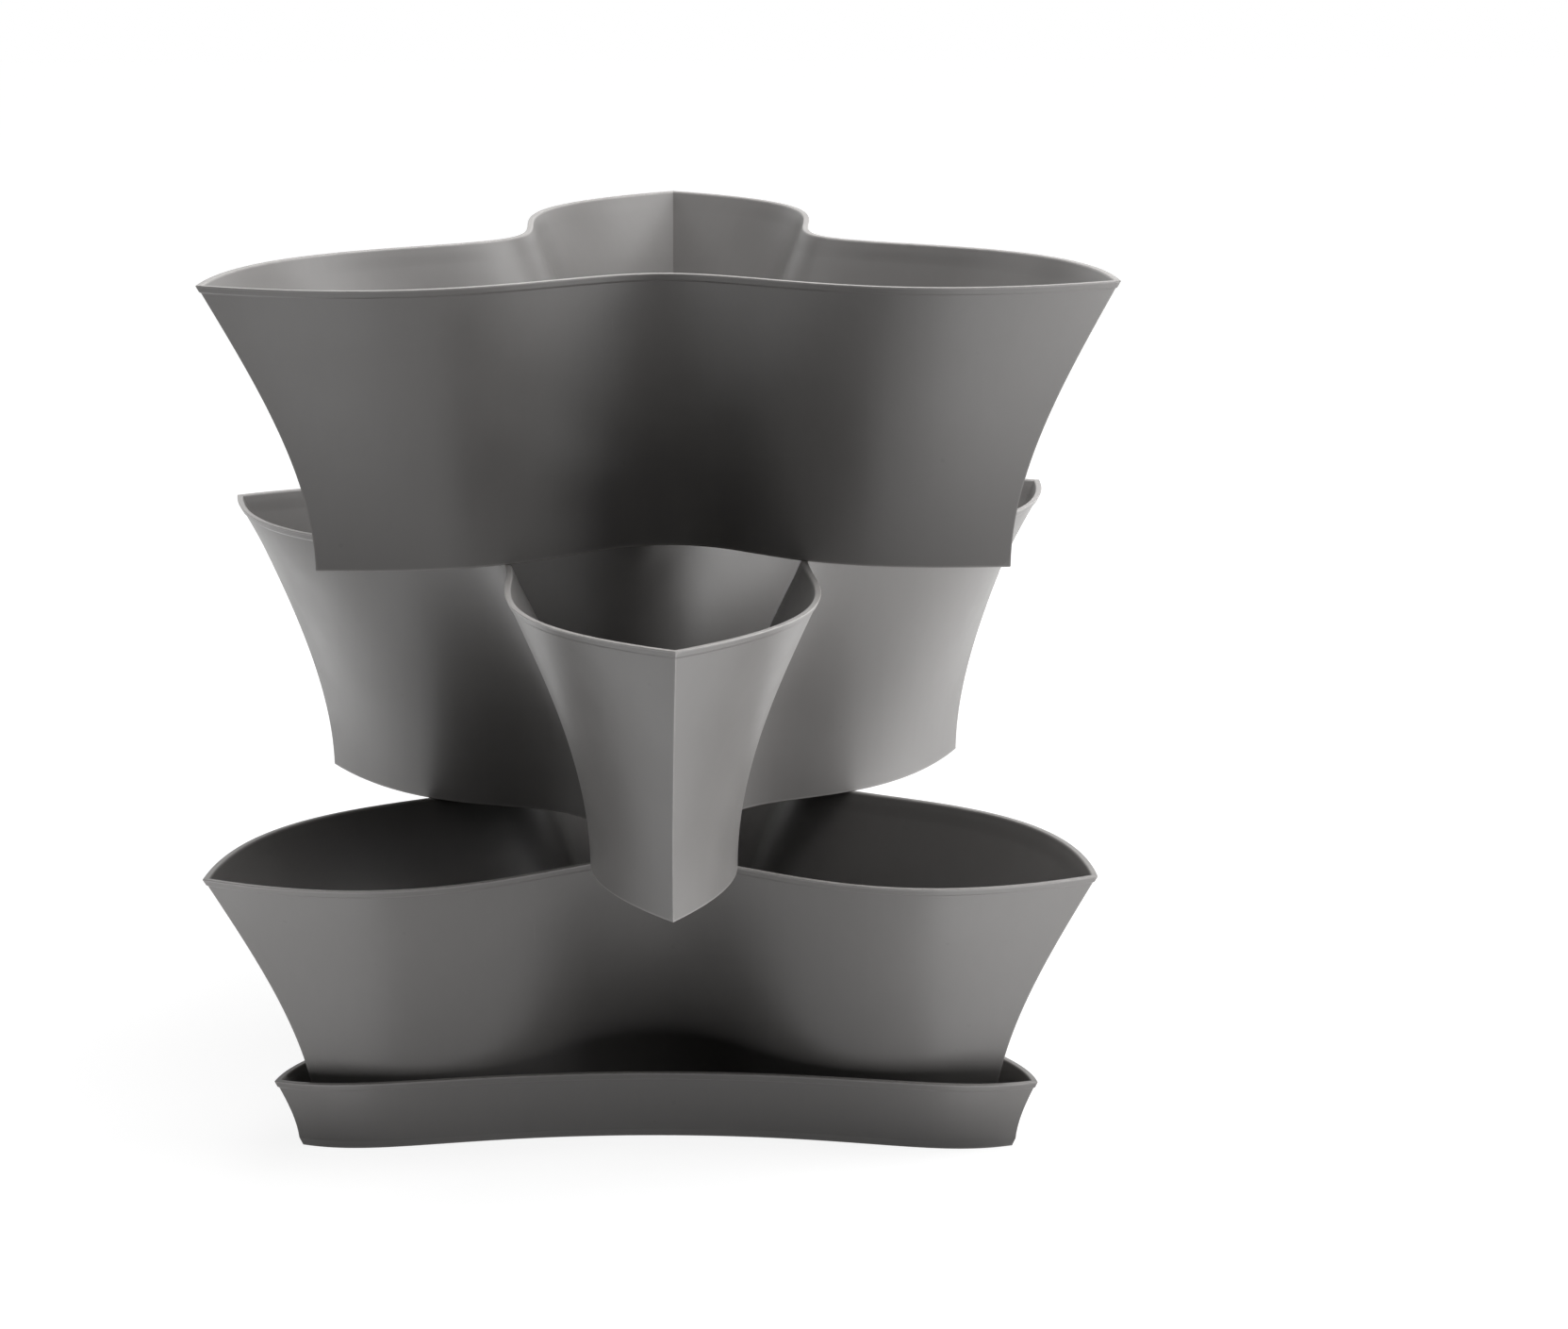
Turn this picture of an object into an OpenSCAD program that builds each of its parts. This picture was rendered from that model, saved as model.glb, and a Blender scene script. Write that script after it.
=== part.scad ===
// Stacking planter tower: three alike pots with three lobes each, set one on the other
// with every second pot turned by half a lobe, on a saucer that takes the lowest pot.
// Millimetres, +Z up, origin on the ground under the centre of the saucer.

/* [Pot rim outline] */
// Distance from the pot's axis to the ridge of a lobe, at the rim
rim_tip_r = 226.4; // [216:0.2:240]
// Distance from the pot's axis to the waist between two lobes, at the rim
rim_waist_r = 83.5; // [76:0.5:92]
// Angle between a lobe's centre line and its side, at the ridge of the rim
rim_tip_angle = 57.4; // [50:0.2:62]
// How far the side runs straight on from the ridge before it turns, at the rim
rim_tip_pull = 124; // [105:1:132]
// How far the side runs straight on from the waist before it turns, at the rim
rim_waist_pull = 44; // [36:1:52]

/* [Pot base outline] */
// Distance from the pot's axis to the ridge of a lobe, at the base
base_tip_r = 176.4; // [168:0.2:182]
// Distance from the pot's axis to the waist between two lobes, at the base
base_waist_r = 38; // [34:0.5:46]
// Angle between a lobe's centre line and its side, at the ridge of the base
base_tip_angle = 36; // [32:0.5:42]
// How far the side runs straight on from the ridge before it turns, at the base
base_tip_pull = 108; // [96:1:116]
// How far the side runs straight on from the waist before it turns, at the base
base_waist_pull = 45; // [38:1:50]

/* [Pot wall] */
// Height of one pot, from its base to the top of its rim
pot_h = 130; // [110:1:150]
// Thickness of the side wall, measured level
wall = 1.9; // [1.4:0.1:2.8]
// Thickness of the floor
floor_t = 2.4; // [1.6:0.1:4]
// Share of the flare that a straight wall would have at the base
base_lean = 0; // [0:0.01:0.3]
// How much the flare eases off towards the rim
flare_ease = 0.53; // [0:0.01:0.6]
// Radius of the rounded edge round the underside
base_round = 0.6; // [0.3:0.1:1.8]
// Radius of the fillet between the wall and the floor, inside
floor_fillet = 3; // [1:0.5:4]

/* [Pot rim] */
// Height of the lip that stands out round the rim
lip_h = 3; // [2:0.1:6]
// How far the lip stands out past the wall
lip_out = 0.5; // [0.3:0.1:1]
// Height of the thicker band inside the rim
band_h = 5.9; // [2:0.1:8]
// How far the band stands in past the wall
band_in = 0.3; // [0.2:0.1:0.8]

/* [Pot drains] */
// Diameter of the drain hole in the floor of each lobe
drain_d = 8; // [4:0.5:12]
// Distance from the pot's axis to each drain hole
drain_at = 55; // [30:1:65]

/* [Saucer outline] */
// Height of the saucer, from the ground to the top of its rim
saucer_h = 33; // [25:0.5:45]
// How far the saucer reaches past the pot's base at a ridge, at its foot
tip_room = 10.8; // [9.5:0.1:16]
// How far the saucer reaches past the pot's base at a waist, at its foot
waist_room = 44.2; // [36:0.1:50]
// How much further out the saucer's rim is at a ridge than its foot
saucer_tip_flare = 10.5; // [8:0.1:14]
// How much further out the saucer's rim is at a waist than its foot
saucer_waist_flare = 6.1; // [4:0.1:10]
// Angle between a lobe's centre line and its side, at the saucer's ridge
saucer_tip_angle = 52; // [48:0.5:56]
// Distance from the axis at which the side's straight run from the ridge would lie if it ran inward
saucer_tip_stop = 146.2; // [136:0.2:152]
// How far the side runs straight on from the waist before it turns
saucer_waist_pull = 91; // [76:1:96]

/* [Saucer wall] */
// Thickness of the saucer's side wall, measured level
saucer_wall_t = 1.9; // [1.4:0.1:2.6]
// Thickness of the saucer's floor
saucer_floor_t = 1.9; // [1.5:0.1:3]
// Height of the foot under the saucer
foot_h = 0.6; // [0.4:0.1:1]
// Width of the foot
foot_w = 2.5; // [2:0.1:4]
// How far the foot lies in from the side
foot_in = 1.2; // [0.8:0.1:3]
// How far above the floor's top the side starts to slope in to the foot
toe_rise = 1.3; // [0.5:0.1:4]
// Radius of the pad under the saucer's centre
pad_r = 12; // [6:0.5:20]

/* [Saucer ribs] */
// Height of the ribs that carry the lowest pot
rib_h = 0.9; // [0.7:0.1:2]
// Width of each rib
rib_w = 2; // [1.5:0.1:3]
// Distance between the two ribs under a lobe
rib_pitch = 24; // [16:1:30]
// How far a rib ends short of the pot's ridge
rib_short = 36; // [26:1:70]
// Radius of the ring that joins the ribs, to its middle
rib_ring_r = 30; // [26:0.5:36]

/* [Stack as set by hand] */
// Air left under each pot, so that it rests on what carries it without cutting into it
stand_gap = 0.1; // [0.05:0.05:0.3]
// Lower pot from the saucer's axis, to the right
lower_x = -2; // [-2.5:0.1:2.5]
// Lower pot from the saucer's axis, to the back
lower_y = -1; // [-2:0.1:2]
// Turn of the lower pot on the saucer
lower_turn = 0.8; // [-1:0.1:1]
// Middle pot from the saucer's axis, to the right
middle_x = -3.6; // [-12:0.1:12]
// Middle pot from the saucer's axis, to the back
middle_y = -3.4; // [-12:0.1:12]
// Turn of the middle pot past half a lobe
middle_turn = 5.2; // [-8:0.1:8]
// Upper pot from the saucer's axis, to the right
upper_x = 3.2; // [-12:0.1:12]
// Upper pot from the saucer's axis, to the back
upper_y = 10.7; // [-12:0.1:12]
// Turn of the upper pot from the saucer
upper_turn = 1.4; // [-8:0.1:8]

/* [Hidden] */

// Lobes of one pot, and half the angle that each takes up
LOBES = 3;
HALF_ANGLE = 180 / LOBES;
// The first lobe points to the back
FIRST_LOBE = 90;
// Straight runs that stand for the curve of half a lobe, and the bands of one side wall
HALF_STEPS = 16;
WALL_BANDS = 8;
SAUCER_BANDS = 4;
// Shares of a curve between which its ridge is looked for, and how often the stretch is halved
RIDGE_SEARCH = [-0.1, 0.4];
RIDGE_TURNS = 24;
// Points round one whole outline
RING = 2 * HALF_STEPS * LOBES;
// Turns of a quarter round, at its start, middle and end
QUARTER = [0, 45, 90];
// How far a piece that is joined to another reaches into it, and a hole past its plate
OVERLAP = 0.2;
// Sides of everything that is truly round
ROUND = 72;
GREY = [0.42, 0.41, 0.4];

// An outline is its ridge radius, waist radius, ridge angle, ridge pull and waist pull
POT_RIM = [rim_tip_r, rim_waist_r, rim_tip_angle, rim_tip_pull, rim_waist_pull];
POT_BASE = [base_tip_r, base_waist_r, base_tip_angle, base_tip_pull, base_waist_pull];
saucer_foot_tip = base_tip_r + tip_room;
saucer_foot_waist = base_waist_r + waist_room;
saucer_tip_pull = saucer_foot_tip - saucer_tip_stop;
SAUCER_BASE = [saucer_foot_tip, saucer_foot_waist, saucer_tip_angle, saucer_tip_pull, saucer_waist_pull];
SAUCER_RIM = SAUCER_BASE + [saucer_tip_flare, saucer_waist_flare, 0, 0, 0];

// Inner and outer end of each rib, from the saucer's axis
rib_from = sqrt(rib_ring_r * rib_ring_r - rib_pitch * rib_pitch / 4);
rib_to = base_tip_r - rib_short;

// Top of the saucer's floor, height up to which the side slopes in to the foot, and the point of
// that slope level with the floor's top, as its distance inward and its height
saucer_top = foot_h + saucer_floor_t;
toe_h = saucer_top + toe_rise;
toe_point = [foot_in * toe_rise / toe_h, saucer_top];

// Heights at which each pot stands
lower_z = saucer_top + rib_h + stand_gap;
middle_z = lower_z + pot_h + stand_gap;
upper_z = middle_z + pot_h + stand_gap;

// Share of the flare that is reached at a share t of the height
function flare(t) = base_lean * t + (1 - base_lean + flare_ease) * t * t - flare_ease * t * t * t;

// Outline at height z of a body whose outline goes from base to rim over the height h
function outline_at(base, rim, h, z) = base + flare(z / h) * (rim - base);

// Ends and handles of the curve from a ridge on +X round to the waist
function side_curve(shape) =
    let (
        ridge = [shape[0], 0],
        waist = shape[1] * [cos(HALF_ANGLE), sin(HALF_ANGLE)]
    )
    [
        ridge,
        ridge + shape[3] * [-cos(shape[2]), sin(shape[2])],
        waist + shape[4] * [sin(HALF_ANGLE), -cos(HALF_ANGLE)],
        waist
    ];

// Point at share u of the curve c
function along(c, u) =
    pow(1 - u, 3) * c[0] + 3 * u * pow(1 - u, 2) * c[1] + 3 * u * u * (1 - u) * c[2] + pow(u, 3) * c[3];

// Heading at share u of the curve c
function heading(c, u) =
    let (d = pow(1 - u, 2) * (c[1] - c[0]) + 2 * u * (1 - u) * (c[2] - c[1]) + u * u * (c[3] - c[2]))
    d / norm(d);

// Point at share u, moved inward by the distance d
function moved(c, d, u) = let (h = heading(c, u)) along(c, u) + d * [-h[1], h[0]];

// Share at which the moved curve crosses the lobe's centre line, found by halving the stretch
function ridge_share(c, d, low, high, turns) =
    let (mid = (low + high) / 2)
    turns == 0 ? mid
        : moved(c, d, mid)[1] > 0 ? ridge_share(c, d, low, mid, turns - 1)
        : ridge_share(c, d, mid, high, turns - 1);

// Half a lobe from its ridge round to the waist, moved inward by the distance d
function half_lobe(shape, d) =
    let (
        c = side_curve(shape),
        start = ridge_share(c, d, RIDGE_SEARCH[0], RIDGE_SEARCH[1], RIDGE_TURNS)
    )
    [for (i = [0:HALF_STEPS])
        let (p = moved(c, d, start + (1 - start) * i / HALF_STEPS))
        i == 0 ? [p[0], 0] : p
    ];

// The whole outline at height z, anticlockwise from above
function ring(shape, d, z) =
    let (
        half = half_lobe(shape, d),
        lobe = concat(
            [for (i = [HALF_STEPS:-1:0]) [half[i][0], -half[i][1]]],
            [for (i = [1:HALF_STEPS - 1]) half[i]]
        )
    )
    [for (k = [0:LOBES - 1]) let (a = FIRST_LOBE + k * 2 * HALF_ANGLE)
        for (p = lobe) [p[0] * cos(a) - p[1] * sin(a), p[0] * sin(a) + p[1] * cos(a), z]
    ];

// One ring for each [distance inward, height] of a section
function ring_points(base, rim, h, section) =
    [for (s = section) each ring(outline_at(base, rim, h, s[1]), s[0], s[1])];

// Faces from each ring to the next over a number of steps, the last step back to the first ring
// where there are as many steps as rings
function side_faces(rings, steps) =
    [for (r = [0:steps - 1]) for (j = [0:RING - 1])
        let (
            a = r * RING + j,
            b = r * RING + (j + 1) % RING,
            over_a = (a + RING) % (rings * RING),
            over_b = (b + RING) % (rings * RING),
            before_ridge = j % (2 * HALF_STEPS) < HALF_STEPS
        )
        each before_ridge
            ? [[a, over_a, over_b], [a, over_b, b]]
            : [[a, over_a, b], [b, over_a, over_b]]
    ];

// Body with a floor, whose section starts under the floor and ends on top of it
module shell(base, rim, h, section) {
    rings = len(section);
    under = [for (j = [0:RING - 1]) j];
    top = [for (j = [RING - 1:-1:0]) (rings - 1) * RING + j];
    faces = concat([under], side_faces(rings, rings - 1), [top]);
    polyhedron(ring_points(base, rim, h, section), faces, convexity = 10);
}

// Wall without a floor, whose section runs up its outside and down its inside
module hoop(base, rim, h, section) {
    rings = len(section);
    polyhedron(ring_points(base, rim, h, section), side_faces(rings, rings), convexity = 10);
}

// Rounded lower edge of a pot
function round_under() = [for (a = QUARTER) base_round * [1 - sin(a), 1 - cos(a)]];

// Rounded corner between a wall and the floor under it, down to the floor
function fillet_to(thick, z) =
    [for (a = QUARTER) [thick + floor_fillet * (1 - cos(a)), z + floor_fillet * (1 - sin(a))]];

// Wall, lip, rim and inner band above the height from, up and over and down to the height to
function wall_section(h, thick, from, to, bands) =
    let (
        under_lip = h - lip_h - lip_out,
        under_band = h - band_h - band_in
    )
    concat(
        [for (i = [1:bands]) [0, from + (under_lip - from) * i / bands]],
        [[-lip_out, h - lip_h], [-lip_out, h]],
        [[thick + band_in, h], [thick + band_in, h - band_h]],
        [for (i = [bands:-1:1]) [thick, to + (under_band - to) * i / bands]]
    );

module pot() {
    section = concat(
        round_under(),
        wall_section(pot_h, wall, base_round, floor_t + floor_fillet, WALL_BANDS),
        fillet_to(wall, floor_t)
    );
    difference() {
        shell(POT_BASE, POT_RIM, pot_h, section);
        for (k = [0:LOBES - 1])
            rotate([0, 0, FIRST_LOBE + k * 2 * HALF_ANGLE])
                translate([drain_at, 0, -OVERLAP])
                    cylinder(d = drain_d, h = floor_t + 2 * OVERLAP, $fn = ROUND);
    }
}

// Two ribs under each lobe and the ring that joins them
module saucer_ribs() {
    tall = rib_h + OVERLAP;
    translate([0, 0, saucer_top - OVERLAP]) {
        for (k = [0:LOBES - 1], side = [-1, 1])
            rotate([0, 0, FIRST_LOBE + k * 2 * HALF_ANGLE])
                translate([rib_from, (side * rib_pitch - rib_w) / 2, 0])
                    cube([rib_to - rib_from, rib_w, tall]);
        difference() {
            cylinder(r = rib_ring_r + rib_w / 2, h = tall, $fn = ROUND);
            translate([0, 0, -OVERLAP])
                cylinder(r = rib_ring_r - rib_w / 2, h = tall + 2 * OVERLAP, $fn = ROUND);
        }
    }
}

// Floor of the saucer with its foot, centre pad and ribs. The saucer is one moulding, and is parted
// level with the top of the floor
module saucer_floor() {
    section = [
        [foot_in + foot_w, foot_h],
        [foot_in + foot_w, 0],
        [foot_in, 0],
        toe_point
    ];
    color(GREY) {
        shell(SAUCER_BASE, SAUCER_RIM, saucer_h, section);
        saucer_ribs();
        cylinder(r = pad_r, h = foot_h + OVERLAP, $fn = ROUND);
    }
}

// Wall of the saucer with its lip and the fillet at its foot
module saucer_wall() {
    section = concat(
        [toe_point, [0, toe_h]],
        wall_section(saucer_h, saucer_wall_t, toe_h, saucer_top + floor_fillet, SAUCER_BANDS),
        fillet_to(saucer_wall_t, saucer_top)
    );
    color(GREY) hoop(SAUCER_BASE, SAUCER_RIM, saucer_h, section);
}

module lower_pot() {
    color(GREY) translate([lower_x, lower_y, lower_z]) rotate([0, 0, lower_turn]) pot();
}

module middle_pot() {
    color(GREY) translate([middle_x, middle_y, middle_z]) rotate([0, 0, HALF_ANGLE + middle_turn]) pot();
}

module upper_pot() {
    color(GREY) translate([upper_x, upper_y, upper_z]) rotate([0, 0, upper_turn]) pot();
}

saucer_floor();
saucer_wall();
lower_pot();
middle_pot();
upper_pot();
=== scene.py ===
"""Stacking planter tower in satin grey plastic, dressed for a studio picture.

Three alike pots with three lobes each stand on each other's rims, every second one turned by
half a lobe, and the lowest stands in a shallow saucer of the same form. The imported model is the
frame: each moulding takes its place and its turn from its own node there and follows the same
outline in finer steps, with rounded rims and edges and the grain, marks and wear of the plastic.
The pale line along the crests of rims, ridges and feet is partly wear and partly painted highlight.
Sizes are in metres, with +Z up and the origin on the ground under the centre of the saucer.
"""

import logging
import math
from collections.abc import Iterator, Sequence
from dataclasses import astuple, dataclass
from enum import Enum

import bpy
import numpy as np
from mathutils import Matrix, Vector
from mathutils.geometry import tessellate_polygon


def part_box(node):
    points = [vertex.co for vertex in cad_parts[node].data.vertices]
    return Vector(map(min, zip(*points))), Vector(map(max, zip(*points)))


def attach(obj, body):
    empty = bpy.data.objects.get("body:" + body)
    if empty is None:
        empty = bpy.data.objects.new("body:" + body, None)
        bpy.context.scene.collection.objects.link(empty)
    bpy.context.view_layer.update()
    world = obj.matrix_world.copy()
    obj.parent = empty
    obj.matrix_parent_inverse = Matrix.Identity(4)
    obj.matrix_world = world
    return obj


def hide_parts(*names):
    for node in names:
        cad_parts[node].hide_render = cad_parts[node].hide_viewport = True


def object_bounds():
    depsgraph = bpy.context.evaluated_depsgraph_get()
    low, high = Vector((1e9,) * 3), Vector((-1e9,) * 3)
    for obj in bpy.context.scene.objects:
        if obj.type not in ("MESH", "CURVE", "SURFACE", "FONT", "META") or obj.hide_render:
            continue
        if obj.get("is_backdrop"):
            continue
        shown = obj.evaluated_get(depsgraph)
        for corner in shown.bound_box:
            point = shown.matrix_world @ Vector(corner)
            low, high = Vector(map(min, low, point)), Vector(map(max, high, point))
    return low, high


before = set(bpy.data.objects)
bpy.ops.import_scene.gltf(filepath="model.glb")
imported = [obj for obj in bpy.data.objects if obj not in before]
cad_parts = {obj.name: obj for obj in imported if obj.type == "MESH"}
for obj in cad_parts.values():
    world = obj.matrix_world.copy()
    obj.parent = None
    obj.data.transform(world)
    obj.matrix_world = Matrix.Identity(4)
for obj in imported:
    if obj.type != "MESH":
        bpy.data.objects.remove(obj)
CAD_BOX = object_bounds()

LOG = logging.getLogger("planter")
MM = 0.001
LOBES = 3
LOBE_ANGLE = 2 * math.pi / LOBES
HALF_LOBE = LOBE_ANGLE / 2
EDGE_LAYER = "edge"

# Shares of a half lobe between which its moved ridge is looked for, and how often they are halved.
RIDGE_SEARCH = (-0.1, 0.4)
RIDGE_HALVINGS = 40
# How far below the top of a node its vertices still count as its rim.
RIM_BAND = 0.1 * MM
# Shares of a soft bend in a wall at which it has rings.
BEND_SHARES = (0.15, 0.5, 0.85)
# How far the bend into the lip reaches below and above the lip's foot, in widths of the lip.
LIP_BEND = (1.3, 0.3)
# How far the bend of the band inside a rim reaches each way, as a share of its height.
BAND_BEND = 0.6
# Between these lie nearly all values of a noise texture.
NOISE_SPAN = (0.3, 0.7)
# Colour sockets of a Mix node. They are found by number, because their names occur more than once.
MIX_SHARE, MIX_UNDER, MIX_OVER, MIX_RESULT = 0, 6, 7, 2
# How far the textures move from one moulding to the next, so that no two are marked alike.
SEED_STEP = (1.7, 0.9, 2.3)
# The point on the tower that the lamps look at, and the height of the boards on the floor.
LAMP_AIM = (0.0, 0.0, 0.2)
BOARD_HEIGHT = 0.004

SectionPoint = tuple[float, float]
Section = list[SectionPoint]
Span = tuple[float, float]
Place = tuple[float, float, float]
Colour = tuple[float, float, float]
Node = bpy.types.Node
Socket = bpy.types.NodeSocket
Value = float | Sequence[float] | Socket
Values = dict[str | int, Value]


class Heading(Enum):
    """Where the first lobe of a moulding points, in degrees from +X."""

    BACK = 90
    FRONT = 270


@dataclass(frozen=True)
class Outline:
    """Outline with three lobes. Half a lobe is one cubic curve from its ridge to the waist.

    Attributes:
        ridge: Distance from the axis to the ridge of a lobe.
        waist: Distance from the axis to the waist between two lobes.
        angle: Angle in degrees between a lobe's centre line and its side, at the ridge.
        ridge_pull: How far the side runs straight on from the ridge before it turns.
        waist_pull: How far the side runs straight on from the waist before it turns.
    """

    ridge: float
    waist: float
    angle: float
    ridge_pull: float
    waist_pull: float

    def toward(self, other: "Outline", share: float) -> "Outline":
        """Mixes two outlines.

        Args:
            other: The outline at share 1.
            share: How far to go towards it.

        Returns:
            The outline in between.
        """
        return Outline(*(a + share * (b - a) for a, b in zip(astuple(self), astuple(other))))

    def handles(self) -> np.ndarray:
        """Returns the ends and handles of the half lobe whose ridge is on +X, four by two."""
        lean = math.radians(self.angle)
        out = np.array([math.cos(HALF_LOBE), math.sin(HALF_LOBE)])
        across = np.array([out[1], -out[0]])
        ridge = np.array([self.ridge, 0.0])
        from_ridge = ridge + self.ridge_pull * np.array([-math.cos(lean), math.sin(lean)])
        waist = self.waist * out
        return np.array([ridge, from_ridge, waist + self.waist_pull * across, waist])

    def moved(self, inset: float, shares: np.ndarray) -> np.ndarray:
        """Points of the half lobe, moved inward.

        Args:
            inset: Distance inward.
            shares: Where on the curve, from 0 at the ridge to 1 at the waist.

        Returns:
            One row of x and y for each share.
        """
        ends = self.handles()
        u = shares[:, None]
        v = 1 - u
        place = v**3 * ends[0] + 3 * u * v**2 * ends[1] + 3 * u**2 * v * ends[2] + u**3 * ends[3]
        slope = v**2 * (ends[1] - ends[0]) + 2 * u * v * (ends[2] - ends[1]) + u**2 * (ends[3] - ends[2])
        slope /= np.linalg.norm(slope, axis=1)[:, None]
        return place + inset * np.column_stack([-slope[:, 1], slope[:, 0]])

    def ridge_share(self, inset: float) -> float:
        """Finds by halving where the moved curve crosses the lobe's centre line.

        Args:
            inset: Distance inward.

        Returns:
            The share of the curve at the moved ridge.
        """
        low, high = RIDGE_SEARCH
        for _ in range(RIDGE_HALVINGS):
            middle = (low + high) / 2
            if self.moved(inset, np.array([middle]))[0, 1] > 0:
                high = middle
            else:
                low = middle
        return low

    def ring(self, inset: float, steps: int, bias: float) -> np.ndarray:
        """Points round the whole outline, anticlockwise, from the ridge of the first lobe.

        Args:
            inset: Distance inward.
            steps: Straight runs in half a lobe.
            bias: Above 1 the points lie closer together near the ridges.

        Returns:
            One row of x and y for each point, with the first lobe on +X.
        """
        start = self.ridge_share(inset)
        half = self.moved(inset, start + (1 - start) * np.linspace(0, 1, steps + 1) ** bias)
        half[0, 1] = 0
        back = half[-2:0:-1] * [1, -1]
        rows = []
        for lobe in range(LOBES):
            rows.append(turned(half, lobe * LOBE_ANGLE))
            rows.append(turned(back, (lobe + 1) * LOBE_ANGLE))
        return np.vstack(rows)


def turned(points: np.ndarray, angle: float) -> np.ndarray:
    """Turns points about the axis.

    Args:
        points: Rows of x and y.
        angle: Angle in radians, anticlockwise.

    Returns:
        The turned rows.
    """
    c, s = math.cos(angle), math.sin(angle)
    return points @ np.array([[c, s], [-s, c]])


def circle(steps: int) -> np.ndarray:
    """Returns points round a circle of radius 1, anticlockwise from +X, as rows of x and y."""
    angles = np.linspace(0, math.tau, steps, endpoint=False)
    return np.column_stack([np.cos(angles), np.sin(angles)])


def shrunk(points: np.ndarray, inset: float) -> np.ndarray:
    """Moves a closed anticlockwise outline inward, corner by corner.

    Args:
        points: Rows of x and y.
        inset: Distance inward.

    Returns:
        The moved rows.
    """
    before = points - np.roll(points, 1, axis=0)
    after = np.roll(points, -1, axis=0) - points
    before /= np.linalg.norm(before, axis=1)[:, None]
    after /= np.linalg.norm(after, axis=1)[:, None]
    inward_before = np.column_stack([-before[:, 1], before[:, 0]])
    inward_after = np.column_stack([-after[:, 1], after[:, 0]])
    middle = inward_before + inward_after
    return points + inset * middle * (2 / (middle**2).sum(axis=1))[:, None]


def corner(centre: SectionPoint, radius: float, start: float, end: float, steps: int) -> Section:
    """Round corner of a section.

    Args:
        centre: Distance inward and height of the corner's centre.
        radius: Its radius.
        start: First angle in degrees, 0 inward and 90 up.
        end: Last angle in degrees.
        steps: Straight runs.

    Returns:
        The points, both ends included.
    """
    angles = np.radians(np.linspace(start, end, steps + 1))
    return [(centre[0] + radius * math.cos(a), centre[1] + radius * math.sin(a)) for a in angles]


def guarded(start: float, end: float, bands: int, guard: float) -> list[float]:
    """Heights of the rings of a wall, with one close to each end that keeps its corner crisp.

    Args:
        start: Height at one end.
        end: Height at the other end.
        bands: Bands between the two close rings.
        guard: How far the close rings are from the ends.

    Returns:
        The heights from start to end, both included.
    """
    near = math.copysign(guard, end - start)
    return [start, *np.linspace(start + near, end - near, bands + 1), end]


def linked(name: str, data: bpy.types.ID) -> bpy.types.Object:
    """Makes an object and puts it into the scene.

    Args:
        name: Its name.
        data: Its mesh, light or camera.

    Returns:
        The object, at the origin.
    """
    made = bpy.data.objects.new(name, data)
    bpy.context.scene.collection.objects.link(made)
    return made


@dataclass(frozen=True)
class Seat:
    """Where a moulding stands, read from its node in the frame.

    Attributes:
        x: Axis to the right.
        y: Axis to the back.
        z: Lowest point of the moulding.
        turn: Heading of the first lobe, in radians.
    """

    x: float
    y: float
    z: float
    turn: float

    @classmethod
    def of_nodes(cls, foot_node: str, rim_node: str, heading: Heading) -> "Seat":
        """Reads a seat from the tips of the lobes on the rim.

        Args:
            foot_node: The node that the moulding stands on.
            rim_node: The node that has its rim.
            heading: About where the first lobe points.

        Returns:
            The seat.
        """
        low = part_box(foot_node)[0]
        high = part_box(rim_node)[1]
        places = np.array([v.co[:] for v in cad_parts[rim_node].data.vertices])
        rim = places[places[:, 2] > high.z - RIM_BAND][:, :2]
        rough = [math.radians(heading.value) + lobe * LOBE_ANGLE for lobe in range(LOBES)]
        tips = np.array([rim[np.argmax(rim @ [math.cos(a), math.sin(a)])] for a in rough])
        axis = tips.mean(axis=0)
        off = [math.remainder(math.atan2(*(t - axis)[::-1]) - a, math.tau) for t, a in zip(tips, rough)]
        return cls(axis[0], axis[1], low.z, rough[0] + float(np.mean(off)))

    def place(self, points: np.ndarray, height: float) -> np.ndarray:
        """Sets a ring of the moulding in its place in the frame.

        Args:
            points: Rows of x and y with the first lobe on +X.
            height: Height above the seat.

        Returns:
            Rows of x, y and z.
        """
        flat = turned(points, self.turn) + [self.x, self.y]
        return np.column_stack([flat, np.full(len(flat), self.z + height)])


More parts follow.
